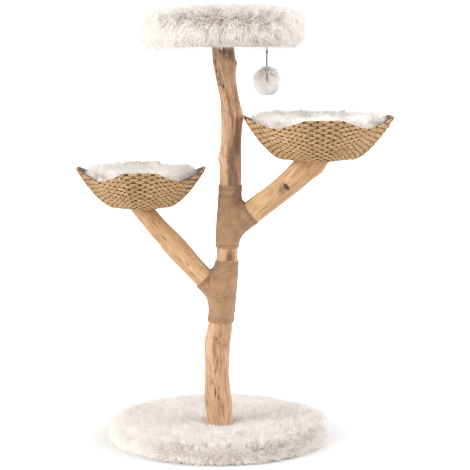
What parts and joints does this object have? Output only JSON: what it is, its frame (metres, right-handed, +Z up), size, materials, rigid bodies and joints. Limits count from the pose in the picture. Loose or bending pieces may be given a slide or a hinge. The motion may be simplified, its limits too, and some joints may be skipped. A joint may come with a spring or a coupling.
{
  "type": "cat tree",
  "caption": "Natural-wood trunk with limbs that carry woven baskets with loose fur cushions, a petal-shaped plush perch, a hanging fur ball and a round plush base.",
  "frame": {"origin": "centre of the base's underside, on the floor", "axes": "+Z up along the trunk, -Y towards the front, +X towards the large basket"},
  "size_m": [0.9504, 0.64, 1.3],
  "materials": {
    "trunk_wood": "smooth, bare",
    "branch_wood": "smooth, bare",
    "board_wood": "bare plywood",
    "jute": "coarse",
    "paper_rope": "woven",
    "fur": "long pile",
    "foam": "soft",
    "felt": "matt",
    "lining": "matt",
    "steel": "plain",
    "wire": "matt",
    "string": "twisted"
  },
  "bodies": {
    "frame": {"floor_pads": "felt", "bolt_cover_pad": "felt", "base_dust_cloth": "lining", "base_board": "board_wood", "base_foam": "foam", "base_plush": "fur", "base_bolts": "steel", "base_washers": "steel", "trunk_foot_inserts": "steel", "trunk_lower": "trunk_wood", "trunk_middle": "trunk_wood", "trunk_upper": "trunk_wood", "trunk_studs": "steel", "trunk_stud_inserts": "steel", "trunk_top_inserts": "steel", "left_branch": "branch_wood", "right_branch": "branch_wood", "branch_bolts": "steel", "branch_washers": "steel", "branch_inserts": "steel", "lower_jute_sleeve": "jute", "upper_jute_sleeve": "jute", "small_basket_weave": "paper_rope", "small_basket_frame": "wire", "small_basket_plate": "board_wood", "small_basket_spacer": "board_wood", "small_basket_screws": "steel", "small_basket_washers": "steel", "large_basket_weave": "paper_rope", "large_basket_frame": "wire", "large_basket_plate": "board_wood", "large_basket_spacer": "board_wood", "large_basket_screws": "steel", "large_basket_washers": "steel", "perch_board": "board_wood", "perch_foam": "foam", "perch_plush": "fur", "perch_lining": "lining", "perch_bolts": "steel", "perch_washers": "steel", "toy_eye": "steel"},
    "small_cushion": {"small_basket_cushion": "fur"},
    "large_cushion": {"large_basket_cushion": "fur"},
    "toy_link": {"toy_link": "steel"},
    "toy": {"toy_knot": "string", "toy_string": "string", "toy_ball": "fur"}
  },
  "joints": [
    {"name": "small_cushion_lift", "type": "slide", "parent": "frame", "child": "small_cushion", "axis": [0, 0, 1], "range_m": [0, 0.25]},
    {"name": "large_cushion_lift", "type": "slide", "parent": "frame", "child": "large_cushion", "axis": [0, 0, 1], "range_m": [0, 0.035]},
    {"name": "toy_swing_sideways", "type": "hinge", "parent": "frame", "child": "toy_link", "pos_m": [0.14, -0.09, 1.19], "axis": [0, 1, 0], "range_deg": [-30, 30]},
    {"name": "toy_swing_forward", "type": "hinge", "parent": "toy_link", "child": "toy", "pos_m": [0.14, -0.09, 1.1853], "axis": [1, 0, 0], "range_deg": [-30, 30]}
  ]
}
